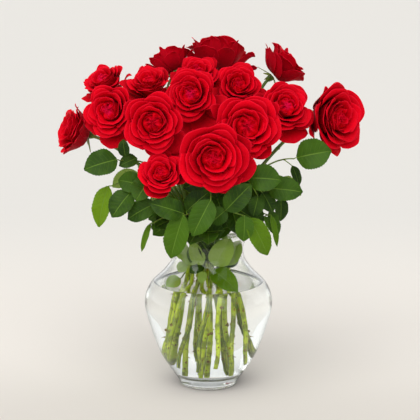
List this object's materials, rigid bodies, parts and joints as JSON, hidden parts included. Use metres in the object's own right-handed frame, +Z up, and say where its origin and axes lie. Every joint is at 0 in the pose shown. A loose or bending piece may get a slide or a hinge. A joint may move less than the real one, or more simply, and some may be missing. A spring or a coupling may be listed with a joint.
{
  "type": "vase of roses",
  "caption": "Bouquet of red roses with leafy stems, standing in water in a clear ginger-jar vase with a flared lip.",
  "frame": {"origin": "middle of the vase's foot, on the surface it stands on", "axes": "+Z up along the vase's axis; -Y is the side that most of the roses face; +X to the right seen from there"},
  "size_m": [0.3927, 0.2493, 0.4524],
  "materials": {
    "glass": "clear, smooth, thick at the foot",
    "water": "clear and still",
    "petal": "velvety red petals, pinker at the heart, darker in the folds",
    "leaf": "waxy dark green leaves with paler veins, lighter green stems"
  },
  "bodies": {
    "root": {"vase": "glass", "water": "water", "bloom_01": "petal", "bloom_02": "petal", "bloom_03": "petal", "bloom_04": "petal", "bloom_05": "petal", "bloom_06": "petal", "bloom_07": "petal", "bloom_08": "petal", "bloom_09": "petal", "bloom_10": "petal", "bloom_11": "petal", "bloom_12": "petal", "bloom_13": "petal", "bloom_14": "petal", "bloom_15": "petal", "bloom_16": "petal", "bloom_17": "petal", "bloom_18": "petal", "stem_01": "leaf", "stem_02": "leaf", "stem_03": "leaf", "stem_04": "leaf", "stem_05": "leaf", "stem_06": "leaf", "stem_07": "leaf", "stem_08": "leaf", "stem_09": "leaf", "stem_10": "leaf", "stem_11": "leaf", "stem_12": "leaf", "stem_13": "leaf", "stem_14": "leaf", "stem_15": "leaf", "stem_16": "leaf", "stem_17": "leaf", "stem_18": "leaf"}
  },
  "joints": []
}
